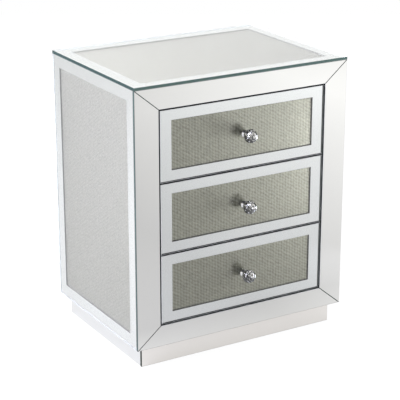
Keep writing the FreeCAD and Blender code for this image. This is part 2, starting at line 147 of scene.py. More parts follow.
def new_group(
    name: str, inputs: dict[str, object], outputs: dict[str, str],
) -> tuple[NodeSheet, Sockets, Sockets]:
    """Makes an empty shader node group.

    Args:
        name: The group's name.
        inputs: Each input's name with its usual value, a number or a colour.
        outputs: Each output's name with its socket type.

    Returns:
        The group's sheet, its input sockets by name and its output sockets by name.
    """
    tree = bpy.data.node_groups.new(name, "ShaderNodeTree")
    for label, usual in inputs.items():
        kind = "NodeSocketFloat" if isinstance(usual, float) else "NodeSocketColor"
        socket = tree.interface.new_socket(label, in_out="INPUT", socket_type=kind)
        socket.default_value = usual if isinstance(usual, float) else (*usual, 1.0)
    for label, kind in outputs.items():
        tree.interface.new_socket(label, in_out="OUTPUT", socket_type=kind)
    start = tree.nodes.new("NodeGroupInput")
    end = tree.nodes.new("NodeGroupOutput")
    given = {socket.name: socket for socket in start.outputs if socket.name}
    wanted = {socket.name: socket for socket in end.inputs if socket.name}
    return NodeSheet(tree), given, wanted


class SurfaceEffect:
    """An effect that materials share: a node group that is built on first use."""

    name: str

    def group(self) -> bpy.types.NodeTree:
        """Gives the effect's node group."""
        return bpy.data.node_groups.get(self.name) or self.build()

    def build(self) -> bpy.types.NodeTree:
        """Builds the node group."""
        raise NotImplementedError


@dataclass(frozen=True)
class HandlingMarks(SurfaceEffect):
    """Faint smears and dulled patches, as wiped glass, metal and paint have."""

    name: str = "handling_marks"
    wipe_stretch: Point = (3.0, 3.0, 0.7)
    wipe_scale: float = 38.0
    clean: float = 0.14
    dulled: float = 0.42

    def build(self) -> bpy.types.NodeTree:
        """Builds the group, which puts out a roughness.

        Returns:
            The group.
        """
        inputs = {"Patch Scale": 9.0, "Low": 0.02, "High": 0.05}
        sheet, given, wanted = new_group(self.name, inputs, {"Roughness": "NodeSocketFloat"})
        patches = sheet.noise(sheet.place(), given["Patch Scale"], detail=5.0)
        wipes = sheet.noise(sheet.scaled_place(self.wipe_stretch), self.wipe_scale, detail=3.0)
        both = sheet.math("MULTIPLY", patches, wipes)
        level = sheet.ramp(both, self.clean, self.dulled, given["Low"], given["High"])
        sheet.fill(wanted["Roughness"], level)
        return sheet.tree


@dataclass(frozen=True)
class WoodGrain(SurfaceEffect):
    """Long wavering grain along Y with finer pores."""

    name: str = "wood_grain"
    band_stretch: Point = (1.0, 0.07, 1.0)
    pore_stretch: Point = (1.0, 0.02, 1.0)
    pore_scale: float = 900.0
    pore_share: float = 0.3
    darkest: float = 0.32
    lightest: float = 0.66

    def build(self) -> bpy.types.NodeTree:
        """Builds the group, which puts out a colour and a height.

        Returns:
            The group.
        """
        inputs = {"Light": (0.6, 0.5, 0.4), "Dark": (0.4, 0.3, 0.2), "Bands": 60.0}
        outputs = {"Color": "NodeSocketColor", "Height": "NodeSocketFloat"}
        sheet, given, wanted = new_group(self.name, inputs, outputs)
        bands = sheet.noise(sheet.scaled_place(self.band_stretch), given["Bands"], detail=4.0)
        pores = sheet.noise(sheet.scaled_place(self.pore_stretch), self.pore_scale, detail=2.0)
        pore_height = sheet.math("MULTIPLY", pores, self.pore_share)
        height = sheet.math("MULTIPLY_ADD", bands, 1.0 - self.pore_share, pore_height)
        share = sheet.ramp(height, self.darkest, self.lightest)
        sheet.fill(wanted["Color"], sheet.blend(share, given["Dark"], given["Light"]))
        sheet.fill(wanted["Height"], height)
        return sheet.tree


@dataclass(frozen=True)
class FineGrit(SurfaceEffect):
    """Small even unevenness, as paint, plating and ground glass have."""

    name: str = "fine_grit"
    patch_scale: float = 14.0

    def build(self) -> bpy.types.NodeTree:
        """Builds the group, which puts out a colour and a height.

        Returns:
            The group.
        """
        inputs = {"Base": (0.5, 0.5, 0.5), "Change": 0.1, "Scale": 600.0}
        outputs = {"Color": "NodeSocketColor", "Height": "NodeSocketFloat"}
        sheet, given, wanted = new_group(self.name, inputs, outputs)
        grit = sheet.noise(sheet.place(), given["Scale"], detail=3.0)
        patches = sheet.noise(sheet.place(), self.patch_scale, detail=2.0)
        swing = sheet.math("SUBTRACT", sheet.math("ADD", grit, patches), 1.0)
        lift = sheet.math("ADD", sheet.math("MULTIPLY", swing, given["Change"]), 1.0)
        tint = sheet.add("VectorMath", {0: given["Base"], "Scale": lift}, operation="SCALE")
        sheet.fill(wanted["Color"], tint.outputs[0])
        sheet.fill(wanted["Height"], grit)
        return sheet.tree


def spaced(values: dict[str, object]) -> dict[str, object]:
    """Gives values by their sockets' names: an underscore stands for a space."""
    return {name.replace("_", " "): value for name, value in values.items()}


class Material:
    """A node material with one Principled shader that goes to its output."""

    def __init__(self, name: str) -> None:
        """Makes the material with an empty Principled shader.

        Args:
            name: The finish in plain words.
        """
        self.data = bpy.data.materials.new(name)
        self.data.use_nodes = True
        self.data.node_tree.nodes.clear()
        self.sheet = NodeSheet(self.data.node_tree)
        self.shader = self.sheet.add("BsdfPrincipled")
        self.surface = self.shader.outputs[0]
        self.output = self.sheet.add("OutputMaterial", {"Surface": self.surface})

    def set(self, **values: object) -> None:
        """Sets inputs of the shader."""
        for name, value in spaced(values).items():
            self.sheet.fill(self.shader.inputs[name], value)

    def effect(self, effect: SurfaceEffect, **values: object) -> Sockets:
        """Places an effect with its own values and gives its outputs."""
        return self.sheet.add("Group", spaced(values), node_tree=effect.group()).outputs

    def bump(self, height: bpy.types.NodeSocket, depth: float, strength: float = 1.0) -> None:
        """Joins a height to the shader's normal: a height of 1 stands for the depth, in metres."""
        node = self.sheet.add("Bump", {"Height": height, "Distance": depth, "Strength": strength})
        self.set(Normal=node.outputs[0])

    def mix(self, share: bpy.types.NodeSocket, other: bpy.types.Node) -> None:
        """Mixes another shader into what the material shows so far.

        Args:
            share: How much of the other shader shows.
            other: The other shader.
        """
        both = self.sheet.add("MixShader", {"Fac": share, 1: self.surface, 2: other.outputs[0]})
        self.surface = both.outputs[0]
        self.sheet.fill(self.output.inputs["Surface"], self.surface)

    def set_back(self, **values: object) -> None:
        """Gives the backs of the faces a Principled shader of their own."""
        shader = self.sheet.add("BsdfPrincipled", spaced(values))
        self.mix(self.sheet.add("NewGeometry").outputs["Backfacing"], shader)


# Finishes

class Finish:
    """A finish that makes its own material."""

    name: str

    def make(self) -> bpy.types.Material:
        """Makes the material.

        Returns:
            The material.
        """
        made = Material(self.name)
        self.shade(made)
        return made.data

    def shade(self, made: Material) -> None:
        """Sets up the shader."""
        raise NotImplementedError


@dataclass(frozen=True)
class ClearGlass(Finish):
    """Float glass that lets lamps reach what lies behind it."""

    name: str = "clear_glass"
    tint: Colour = (0.972, 0.985, 0.978)

    def shade(self, made: Material) -> None:
        """Sets up the shader.

        Args:
            made: The new material.
        """
        made.set(Base_Color=self.tint, Roughness=0.0, IOR=GLASS_IOR, Transmission_Weight=1.0)
        film = made.sheet.add("BsdfTransparent", {"Color": self.tint})
        made.mix(made.sheet.add("LightPath").outputs["Is Shadow Ray"], film)


@dataclass(frozen=True)
class Silvering(Finish):
    """The silver coat on the back of a pane."""

    name: str
    tint: Colour
    roughness: float = 0.012
    roughness_worn: float = 0.03
    tint_change: float = 0.012
    cloud_scale: float = 40.0

    def shade(self, made: Material) -> None:
        """Sets up the shader.

        Args:
            made: The new material.
        """
        marks = made.effect(HandlingMarks(), Low=self.roughness, High=self.roughness_worn)
        tone = made.effect(FineGrit(), Base=self.tint, Change=self.tint_change, Scale=self.cloud_scale)
        made.set(Base_Color=tone["Color"], Metallic=1.0, Roughness=marks["Roughness"])


@dataclass(frozen=True)
class GlassEdge(Finish):
    """The green edge of a pane, polished or ground, which looks matt from inside the glass."""

    name: str
    tint: Colour
    roughness: float
    inside: Colour
    inside_roughness: float = 0.6
    streaks: float = 0.25
    streak_scale: float = 260.0
    streak_depth: float = 0.02 * MILLIMETRE
    gloss: float = 0.2

    def shade(self, made: Material) -> None:
        """Sets up the shader.

        Args:
            made: The new material.
        """
        tone = made.effect(FineGrit(), Base=self.tint, Change=self.streaks, Scale=self.streak_scale)
        made.set(Base_Color=tone["Color"], Roughness=self.roughness)
        made.set(IOR=GLASS_IOR, Specular_IOR_Level=self.gloss)
        made.bump(tone["Height"], self.streak_depth)
        made.set_back(Base_Color=self.inside, Roughness=self.inside_roughness)


@dataclass(frozen=True)
class MetallicWeave(Finish):
    """Taupe-silver woven threads with painted shade: the colour runs from under in the grooves to over
    on the crossings.
    """

    name: str = "drawer_weave"
    # Painted light and shade: over is the lighter colour on the crossings, under the darker colour in
    # the grooves.
    over: Colour = (0.60, 0.585, 0.475)
    under: Colour = (0.19, 0.185, 0.148)
    roughness: float = 0.42
    roughness_change: float = 0.06
    slub_share: float = 0.6
    slub_scale: float = 150.0
    fibre_scale: float = 700.0
    fibre_depth: float = 0.12 * MILLIMETRE
    fibre_strength: float = 0.6

    def shade(self, made: Material) -> None:
        """Sets up the shader.

        Args:
            made: The new material.
        """
        sheet = made.sheet
        fibre = sheet.noise(sheet.place(), self.fibre_scale, detail=3.0)
        slub = sheet.noise(sheet.place(), self.slub_scale, detail=2.0)
        # Painted shade by the weave's height: darker in the grooves, lighter on the crossings; the
        # slub adds tone that differs at random.
        crossing = sheet.add("Attribute", attribute_name=PAINTED_WEAVE_SHADING).outputs["Fac"]
        uneven = sheet.math("MULTIPLY", sheet.math("SUBTRACT", slub, 0.5), self.slub_share)
        share = sheet.ramp(sheet.math("ADD", crossing, uneven), 0.0, 1.0)
        smoothest = self.roughness - self.roughness_change
        roughest = self.roughness + self.roughness_change
        rough = sheet.ramp(fibre, 0.0, 1.0, smoothest, roughest)
        made.set(Base_Color=sheet.blend(share, self.under, self.over), Metallic=1.0, Roughness=rough)
        made.bump(fibre, self.fibre_depth, self.fibre_strength)


@dataclass(frozen=True)
class Paint(Finish):
    """Satin paint on board."""

    name: str
    tint: Colour
    tint_change: float = 0.14
    roughness: float = 0.5
    wear: float = 0.15
    grit_scale: float = 700.0
    grit_depth: float = 0.05 * MILLIMETRE

    def shade(self, made: Material) -> None:
        """Sets up the shader.

        Args:
            made: The new material.
        """
        tone = made.effect(FineGrit(), Base=self.tint, Change=self.tint_change, Scale=self.grit_scale)
        marks = made.effect(HandlingMarks(), Low=self.roughness, High=self.roughness + self.wear)
        made.set(Base_Color=tone["Color"], Roughness=marks["Roughness"])
        made.bump(tone["Height"], self.grit_depth)


@dataclass(frozen=True)
class Wood(Finish):
    """Board with grain, bare or under lacquer."""

    name: str
    light: Colour
    dark: Colour
    bands: float
    roughness: float
    wear: float = 0.12
    lacquer: float = 0.0
    lacquer_roughness: float = 0.25
    grain_depth: float = 0.15 * MILLIMETRE
    grain_strength: float = 0.5

    def shade(self, made: Material) -> None:
        """Sets up the shader.

        Args:
            made: The new material.
        """
        grain = made.effect(WoodGrain(), Light=self.light, Dark=self.dark, Bands=self.bands)
        marks = made.effect(HandlingMarks(), Low=self.roughness, High=self.roughness + self.wear)
        made.set(Base_Color=grain["Color"], Roughness=marks["Roughness"])
        made.set(Coat_Weight=self.lacquer, Coat_Roughness=self.lacquer_roughness)
        made.bump(grain["Height"], self.grain_depth, self.grain_strength)


@dataclass(frozen=True)
class Metal(Finish):
    """Polished or plated metal."""

    name: str
    tint: Colour
    roughness: float
    roughness_worn: float
    tint_change: float = 0.03
    grit_scale: float = 500.0
    patch_scale: float = 60.0

    def shade(self, made: Material) -> None:
        """Sets up the shader.

        Args:
            made: The new material.
        """
        tone = made.effect(FineGrit(), Base=self.tint, Change=self.tint_change, Scale=self.grit_scale)
        rough = {"Low": self.roughness, "High": self.roughness_worn}
        marks = made.effect(HandlingMarks(), Patch_Scale=self.patch_scale, **rough)
        made.set(Base_Color=tone["Color"], Metallic=1.0, Roughness=marks["Roughness"])


@dataclass(frozen=True)
class Crystal(Finish):
    """Lead crystal with polished facets."""

    name: str = "cut_crystal"
    tint: Colour = (0.985, 0.99, 0.99)
    ior: float = 1.62
    smears: float = 0.015
    smear_scale: float = 80.0

    def shade(self, made: Material) -> None:
        """Sets up the shader.

        Args:
            made: The new material.
        """
        marks = made.effect(HandlingMarks(), Patch_Scale=self.smear_scale, Low=0.0, High=self.smears)
        made.set(Base_Color=self.tint, Roughness=marks["Roughness"], IOR=self.ior)
        made.set(Transmission_Weight=1.0)


@dataclass(frozen=True)
class Foil(Finish):
    """Bright foil behind a crystal, which shines towards it and is lacquered on its back."""

    name: str = "crystal_foil"
    tint: Colour = (0.86, 0.87, 0.88)
    roughness: float = 0.02
    lacquer: Colour = (0.16, 0.16, 0.155)
    lacquer_change: float = 0.1
    lacquer_roughness: float = 0.45
    grit_scale: float = 900.0

    def shade(self, made: Material) -> None:
        """Sets up the shader.

        Args:
            made: The new material.
        """
        grit = {"Change": self.lacquer_change, "Scale": self.grit_scale}
        tone = made.effect(FineGrit(), Base=self.lacquer, **grit)
        made.set(Base_Color=tone["Color"], Roughness=self.lacquer_roughness)
        made.set_back(Base_Color=self.tint, Metallic=1.0, Roughness=self.roughness)


class Finishes:
    """Every finish of the chest, made once."""

    def __init__(self) -> None:
        """Makes the materials."""
        self.glass = ClearGlass().make()
        self.frame_silver = Silvering("frame_silvering", (0.938, 0.936, 0.91)).make()
        self.border_silver = Silvering("border_silvering", (0.918, 0.928, 0.926)).make()
        self.plinth_silver = Silvering("plinth_silvering", (0.975, 0.945, 0.91)).make()
        # Painted light: a lighter copy of the top glass's edge for its front edge, where more light
        # falls.
        self.painted_light_front_edge = GlassEdge(
            "top_glass_front_edge_painted_lighter", (0.15, 0.24, 0.212), roughness=0.2, inside=(0.90, 0.96, 0.94),
        ).make()
        self.polished_edge = GlassEdge(
            "top_glass_edge", (0.018, 0.04, 0.037), roughness=0.2, inside=(0.90, 0.96, 0.94),
        ).make()
        self.ground_edge = GlassEdge(
            "ground_glass_edge", (0.055, 0.08, 0.073), roughness=0.35, inside=(0.93, 0.96, 0.95),
        ).make()
        # Painted shade: a darker copy of the ground edge, also dark inside, for the plinth mirrors'
        # edges under the case's overhang and for the panes' down-facing edges.
        self.painted_shade_edge = GlassEdge(
            "painted_shade_glass_edge", (0.012, 0.018, 0.012), roughness=0.5, inside=(0.3, 0.31, 0.305),
        ).make()
        # Painted shade: a darker copy of the ground edge, dark inside too, for the edges that face the
        # gaps round the drawers.
        self.shaded_gap_edge = GlassEdge(
            "drawer_gap_edge_painted_shade", (0.018, 0.026, 0.024), roughness=0.45, inside=(0.05, 0.065, 0.06),
        ).make()
        # Painted highlight: a pale copy of the glass edge on the slopes beside the drawer gaps, with
        # painted shade inside.
        self.painted_lit_gap_arris = GlassEdge(
            "drawer_gap_arris_painted_highlight", (0.78, 0.80, 0.79), roughness=0.4, inside=(0.05, 0.065, 0.06),
        ).make()
        self.arris = Metal(
            "polished_arris", (0.76, 0.79, 0.78), roughness=0.06, roughness_worn=0.12,
        ).make()
        self.weave = MetallicWeave().make()
        # Painted light: the case's copy of the drawers' fabric, tinted less yellow for how the top and
        # sides are lit.
        self.cool_lit_case_weave = MetallicWeave(
            "cool_lit_case_weave", over=(0.605, 0.59, 0.535), under=(0.195, 0.19, 0.17),
        ).make()
        self.carcass = Paint("carcass_paint", (0.11, 0.11, 0.105)).make()
        self.plinth_paint = Paint("plinth_paint", (0.62, 0.61, 0.59)).make()
        self.back_board = Paint(
            "back_board_paint", (0.16, 0.158, 0.15), roughness=0.6, grit_scale=320.0,
            grit_depth=0.12 * MILLIMETRE,
        ).make()
        self.batten = Wood(
            "planed_softwood", light=(0.66, 0.50, 0.32), dark=(0.47, 0.31, 0.17), bands=70.0,
            roughness=0.55,
        ).make()
        self.batten_worn = Wood(
            "rubbed_softwood", light=(0.62, 0.47, 0.30), dark=(0.45, 0.30, 0.17), bands=70.0,
            roughness=0.65,
        ).make()
        self.drawer = Wood(
            "drawer_lacquer", light=(0.43, 0.415, 0.39), dark=(0.335, 0.32, 0.30), bands=45.0,
            roughness=0.38, lacquer=0.3,
        ).make()
        self.drawer_worn = Wood(
            "worn_drawer_lacquer", light=(0.56, 0.53, 0.48), dark=(0.45, 0.42, 0.375), bands=45.0,
            roughness=0.5, lacquer=0.1,
        ).make()
        self.drawer_base = Wood(
            "drawer_base_lacquer", light=(0.47, 0.455, 0.43), dark=(0.39, 0.375, 0.35), bands=38.0,
            roughness=0.45, lacquer=0.2,
        ).make()
        self.chrome = Metal(
            "polished_chrome", (0.86, 0.87, 0.88), roughness=0.03, roughness_worn=0.08,
        ).make()
        self.crystal = Crystal().make()
        self.foil = Foil().make()
        self.girdle = Metal(
            "crystal_girdle", (0.86, 0.87, 0.88), roughness=0.02, roughness_worn=0.05,
        ).make()
        self.slide_steel = Metal(
            "zinc_plated_steel", (0.60, 0.61, 0.62), roughness=0.26, roughness_worn=0.36,
            tint_change=0.04, grit_scale=380.0,
        ).make()
        self.screw_steel = Metal(
            "plated_screw_steel", (0.58, 0.58, 0.57), roughness=0.25, roughness_worn=0.38,
            tint_change=0.08,
        ).make()


# Glass

class PaneFace(Enum):
    """The kinds of face that a pane has."""

    GLASS = 0
    SILVER = 1
    EDGE = 2
    ARRIS = 3
    GAP = 4
    # The top glass's front edge, which has a painted lighter finish.
    FRONT = 5
    GAP_ARRIS = 6
    # Down-facing edges, which get painted shade.
    SHADED_FOOT = 7


@dataclass
class Pane:
    """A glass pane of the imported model, dressed face by face.

    Attributes:
        node: The pane's node.
        showing: The direction in which the pane shows.
        silver: The coat behind the pane.
        edge: The finish of its edges.
        arris: The finish of the narrow slope round the face that shows.
        gap_sides: The directions of the edges that face the gap round a drawer.
        line_sides: The directions in which the slope takes the edge's finish.
        window: True if part of the pane is looked through.
        coat_tolerance: How far from the pane's back a face may lie and still carry the coat.
        face_limit: The cosine to the showing direction from which a face is the one that shows.
        slope_limit: The cosine from which a face is on the slope, and minus which it is on the back.
        side_limit: The cosine from which two directions count as one.
    """

    node: str
    showing: Point
    silver: bpy.types.Material
    edge: bpy.types.Material
    arris: bpy.types.Material
    gap_sides: tuple[Point, ...] = ()
    line_sides: tuple[Point, ...] = ()
    window: bool = True
    coat_tolerance: float = 0.1 * MILLIMETRE
    face_limit: float = 0.95
    slope_limit: float = 0.3
    side_limit: float = 0.9

    def dress(self, look: Finishes) -> None:
        """Gives each face of the pane its finish.

        Args:
            look: The finishes that all panes share.
        """
        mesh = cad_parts[self.node].data
        mesh.materials.clear()
        own = (look.glass, self.silver, self.edge, self.arris)
        for material in (*own, look.shaded_gap_edge, look.painted_light_front_edge, look.painted_lit_gap_arris, look.painted_shade_edge):
            mesh.materials.append(material)
        out = Vector(self.showing)
        deepest = min(vertex.co.dot(out) for vertex in mesh.vertices)
        for polygon in mesh.polygons:
            polygon.use_smooth = False
            polygon.material_index = self.kind(polygon, out, deepest).value
        LOG.info("pane %s dressed", self.node)

    def kind(self, polygon: bpy.types.MeshPolygon, out: Vector, deepest: float) -> PaneFace:
        """Tells which kind a face is.

        Args:
            polygon: The face.
            out: The direction in which the pane shows.
            deepest: How far out the pane's back lies.

        Returns:
            The kind of face.
        """
        facing = polygon.normal.dot(out)
        if facing > self.face_limit:
            return PaneFace.GLASS if self.window else PaneFace.SILVER
        if facing > -self.slope_limit:
            sideways = (polygon.normal - facing * out).normalized()
            return self.rim_kind(sideways, facing > self.slope_limit)
        coated = polygon.center.dot(out) - deepest < self.coat_tolerance
        return PaneFace.SILVER if coated else PaneFace.GLASS

    def rim_kind(self, sideways: Vector, slope: bool) -> PaneFace:
        """Tells which kind a face on the pane's rim is.

        Args:
            sideways: The direction in the pane's plane in which it faces.
            slope: True for the narrow slope round the face that shows.

        Returns:
            The kind of face.
        """
        # Painted shade on the edges that face the gaps round the drawers.
        if self.faces_any(sideways, self.gap_sides):
            # The slopes by the gaps take the painted highlight, the edges the painted shade.
            return PaneFace.GAP_ARRIS if slope else PaneFace.GAP
        # Painted shade on the down-facing edges.
        if self.faces_any(sideways, (DOWN,)):
            return PaneFace.SHADED_FOOT
        # Painted light: the top glass's front edge takes the lighter copy of its edge finish.
        if self.showing == UP and self.faces_any(sideways, (FRONT,)):
            return PaneFace.FRONT
        if slope and not self.faces_any(sideways, self.line_sides):
            return PaneFace.ARRIS
        return PaneFace.EDGE

    def faces_any(self, sideways: Vector, sides: tuple[Point, ...]) -> bool:
        """Tells whether a direction is one of the sides."""
        return any(sideways.dot(Vector(side)) > self.side_limit for side in sides)


@dataclass
class Glazing:
    """All the panes of the chest."""

    finishes: Finishes

    def panes(self) -> Iterator[Pane]:
        """Gives the panes from the top down.

        Returns:
            The panes, one at a time.
        """
        look = self.finishes
        yield Pane("top_glass", UP, look.border_silver, look.polished_edge, look.polished_edge)
        for name, out in (("left", LEFT), ("right", RIGHT)):
            yield Pane(f"side_glass_{name}", out, look.border_silver, look.ground_edge, look.arris,
                       line_sides=(FRONT, UP))
            # The plinth mirrors' edges take the painted shade.
            yield Pane(f"plinth_mirror_{name}", out, look.border_silver, look.painted_shade_edge, look.arris,
                       line_sides=(FRONT,), window=False)
        diagonal = math.sqrt(0.5)
        ends = (-diagonal, diagonal)
        mitres = tuple((across, 0.0, along) for across in ends for along in ends)
        inward = {"left": RIGHT, "right": LEFT, "top": DOWN, "bottom": UP}
        for name, gap_side in inward.items():
            lines = (LEFT, RIGHT, *mitres) if name in SIDE_NAMES else ()
            yield Pane(f"frame_mirror_{name}", FRONT, look.frame_silver, look.ground_edge, look.arris,
                       gap_sides=(gap_side,), line_sides=lines, window=False)
        # The front plinth mirror's edges take the painted shade.
        yield Pane("plinth_mirror_front", FRONT, look.plinth_silver, look.painted_shade_edge, look.arris,
                   line_sides=(LEFT, RIGHT), window=False)
        for name in DRAWER_NAMES:
            yield Pane(f"drawer_glass_{name}", FRONT, look.border_silver, look.ground_edge, look.arris,
                       gap_sides=tuple(inward.values()))

    def dress(self) -> None:
        """Dresses every pane."""
        for pane in self.panes():
            pane.dress(self.finishes)


# Woven panels

@dataclass
class WovenPanel:
    """A sheet of plain weave, broad ribs crossed by narrower threads, in place of a flat plate.

    Attributes:
        node: The plate that the sheet stands for.
        body: The body that carries it.
        board: The node that it is stretched over; not used.
        depth_axis: The number of the axis through the sheet: 0, 1 or 2.
        shows_high: True if the sheet shows towards the higher end of that axis.
        rib_pitch: The width of a rib.
        thread_pitch: The height of a crossing thread.
        relief: How far a crossing stands above the groove between ribs.
        contrast: How much the painted shade makes the crossings differ in colour from the grooves.
        rib_steps: How many steps of the grid a rib takes.
        thread_steps: How many steps of the grid a thread takes.
        thread_share: How much of the relief comes from the threads, the rest being the ribs.
        slant: How far a thread shifts from rib to rib, as a share of its pitch.
        wander: How far a thread strays from its row, as a share of its pitch.
        wander_ribs: How fast the straying changes from rib to rib, in radians.
        wander_threads: How fast its second swing changes from thread to thread, in radians.
        wander_slant: How fast its second swing changes from rib to rib, in radians.
    """

    node: str
    body: str
    board: str
    depth_axis: int
    shows_high: bool
    rib_pitch: float = 7.7 * MILLIMETRE
    thread_pitch: float = 3.95 * MILLIMETRE
    relief: float = 0.28 * MILLIMETRE
    contrast: float = 0.62
    rib_steps: int = 4
    thread_steps: int = 2
    thread_share: float = 0.55
    slant: float = 1.22
    wander: float = 0.2
    wander_ribs: float = 1.9
    wander_threads: float = 0.83
    wander_slant: float = 0.6

    def rise(self, column: int, row: int) -> float:
        """Tells how high the sheet stands at a point of its grid.

        Args:
            column: The point's number across the ribs.
            row: The point's number along them.

        Returns:
            The height: 0 in a groove, 1 on a crossing.
        """
        rib = column / self.rib_steps
        thread = row / self.thread_steps
        ribs = -math.cos(2.0 * math.pi * rib)
        second_swing = math.sin(self.wander_threads * thread + self.wander_slant * rib)
        stray = self.wander * (math.sin(self.wander_ribs * rib) + second_swing)
        threads = math.cos(math.pi * (thread + self.slant * rib + stray))
        return 0.5 + 0.5 * ((1.0 - self.thread_share) * ribs + self.thread_share * threads)

    def flat_axes(self) -> list[int]:
        """Gives the numbers of the two axes in the sheet's plane."""
        return [axis for axis in range(3) if axis != self.depth_axis]

    def build(self) -> bpy.types.Object:
        """Builds the sheet as a closed mesh.

        Returns:
            The new object.
        """
        low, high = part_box(self.node)
        across, along = self.flat_axes()
        shown, hidden = low[self.depth_axis], high[self.depth_axis]
        if self.shows_high:
            shown, hidden = hidden, shown
        inward = math.copysign(self.relief, hidden - shown)
        columns = self.rib_steps * round((high[across] - low[across]) / self.rib_pitch)
        rows = self.thread_steps * round((high[along] - low[along]) / self.thread_pitch)
        mesh = bmesh.new()
        crossing = mesh.verts.layers.float.new(PAINTED_WEAVE_SHADING)

        def knot(column: int, row: int, depth: float, height: float) -> bmesh.types.BMVert:
            """Adds a point of the sheet.

            Args:
                column: The point's number across the ribs.
                row: The point's number along them.
                depth: Its place on the axis through the sheet.
                height: Its height in the weave, from 0 to 1.

            Returns:
                The point.
            """
            spot = [0.0, 0.0, 0.0]
            spot[across] = low[across] + (high[across] - low[across]) * column / columns
            spot[along] = low[along] + (high[along] - low[along]) * row / rows
            spot[self.depth_axis] = depth
            made = mesh.verts.new(spot)
            # Painted shade: the colour share follows the height, darker in the grooves and lighter on
            # the crossings.
            made[crossing] = 0.5 + self.contrast * (height - 0.5)
            return made

        grid = []
        for column in range(columns + 1):
            heights = [self.rise(column, row) for row in range(rows + 1)]
            grid.append([knot(column, row, shown + inward * (1.0 - height), height)
                         for row, height in enumerate(heights)])
        for column in range(columns):
            for row in range(rows):
                mesh.faces.new((grid[column][row], grid[column + 1][row],
                                grid[column + 1][row + 1], grid[column][row + 1]))
        corners = {(c, r): knot(c, r, hidden, 0.0) for c in (0, columns) for r in (0, rows)}
        mesh.faces.new((corners[0, 0], corners[0, rows], corners[columns, rows], corners[columns, 0]))
        for row in (0, rows):
            mesh.faces.new([line[row] for line in grid] + [corners[columns, row], corners[0, row]])
        for column in (0, columns):
            mesh.faces.new(grid[column] + [corners[column, rows], corners[column, 0]])
        bmesh.ops.recalc_face_normals(mesh, faces=mesh.faces)
        made = finish_mesh(f"woven_{self.node}", mesh, smooth=True)
        for polygon in made.data.polygons[columns * rows:]:
            polygon.use_smooth = False
        return made

    def dress(self, material: bpy.types.Material) -> None:
        """Builds the sheet, gives it its finish and puts it in the plate's place.

        Args:
            material: The woven finish.
        """
        sheet = self.build()
        sheet.data.materials.append(material)
        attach(sheet, self.body)
        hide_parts(self.node)
        LOG.info("woven sheet %s", sheet.name)


def finish_mesh(name: str, mesh: bmesh.types.BMesh, smooth: bool) -> bpy.types.Object:
    """Turns a mesh under construction into an object of the scene.

    Args:
        name: The object's name.
        mesh: The mesh, which is freed.
        smooth: True for smooth shading.

    Returns:
        The new object.
    """
    data = bpy.data.meshes.new(name)
    mesh.to_mesh(data)
    mesh.free()
    for polygon in data.polygons:
        polygon.use_smooth = smooth
    made = bpy.data.objects.new(name, data)
    bpy.context.scene.collection.objects.link(made)
    return made


@dataclass
class Weaving:
    """All the woven panels of the chest: those of the case are stretched flatter than the drawers',
    with less painted shade in their grooves and a cooler painted tint for how they are lit.
    """

    finishes: Finishes
    flat_relief: float = 0.25 * MILLIMETRE
    # Painted shade in the case's grooves is weaker than in the drawers'.
    flat_painted_shade: float = 0.3

    def panels(self) -> Iterator[WovenPanel]:
        """Gives the panels of the top, the sides and the drawers.

        Returns:
            The panels, one at a time.
        """
        flat = {"relief": self.flat_relief, "contrast": self.flat_painted_shade}
        yield WovenPanel("top_weave", "case", "top_board", depth_axis=2, shows_high=True, **flat)
        for side in SIDE_NAMES:
            yield WovenPanel(f"side_weave_{side}", "case", f"side_board_{side}",
                             depth_axis=0, shows_high=side == "right", **flat)
        for name in DRAWER_NAMES:
            yield WovenPanel(f"drawer_weave_{name}", f"drawer_{name}", f"drawer_front_{name}",
                             depth_axis=1, shows_high=False)

    def dress(self) -> None:
        """Builds every panel."""
        for panel in self.panels():
            look = self.finishes.cool_lit_case_weave if panel.body == "case" else self.finishes.weave
            panel.dress(look)


# Case, drawers and hardware

@dataclass
class RoundedBoard:
    """A board whose sharp edges are rubbed round.

    Attributes:
        node: The node with the sharp board.
        body: The body that carries it.
        slot: The node's material slot; not used.
        finish: The finish of its faces.
        worn: The finish of its rounded edges.
        edge_round: How much the edges lose.
        edge_steps: How many faces make up a rounded edge.
        edge_profile: The edge's profile, where 0.5 is round.
        sharp_degrees: The turn between faces from which an edge counts as sharp.
        weld: How close points lie that are joined first.
    """

    node: str
    body: str
    slot: str
    finish: bpy.types.Material
    worn: bpy.types.Material
    edge_round: float = 1.0 * MILLIMETRE
    edge_steps: int = 2
    edge_profile: float = 0.5
    sharp_degrees: float = 40.0
    weld: float = 0.01 * MILLIMETRE

    def build(self) -> None:
        """Builds the rounded board and puts it in the sharp one's place."""
        mesh = bmesh.new()
        mesh.from_mesh(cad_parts[self.node].data)
        bmesh.ops.remove_doubles(mesh, verts=mesh.verts, dist=self.weld)
        limit = math.radians(self.sharp_degrees)
        sharp = [edge for edge in mesh.edges if edge.calc_face_angle(0.0) > limit]
        bmesh.ops.bevel(mesh, geom=sharp, offset=self.edge_round, segments=self.edge_steps,
                        profile=self.edge_profile, affect="EDGES", clamp_overlap=True, material=1)
        board = finish_mesh(f"rounded_{self.node}", mesh, smooth=False)
        board.data.materials.append(self.finish)
        board.data.materials.append(self.worn)
        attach(board, self.body)
        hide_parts(self.node)
        LOG.info("board %s rounded", self.node)


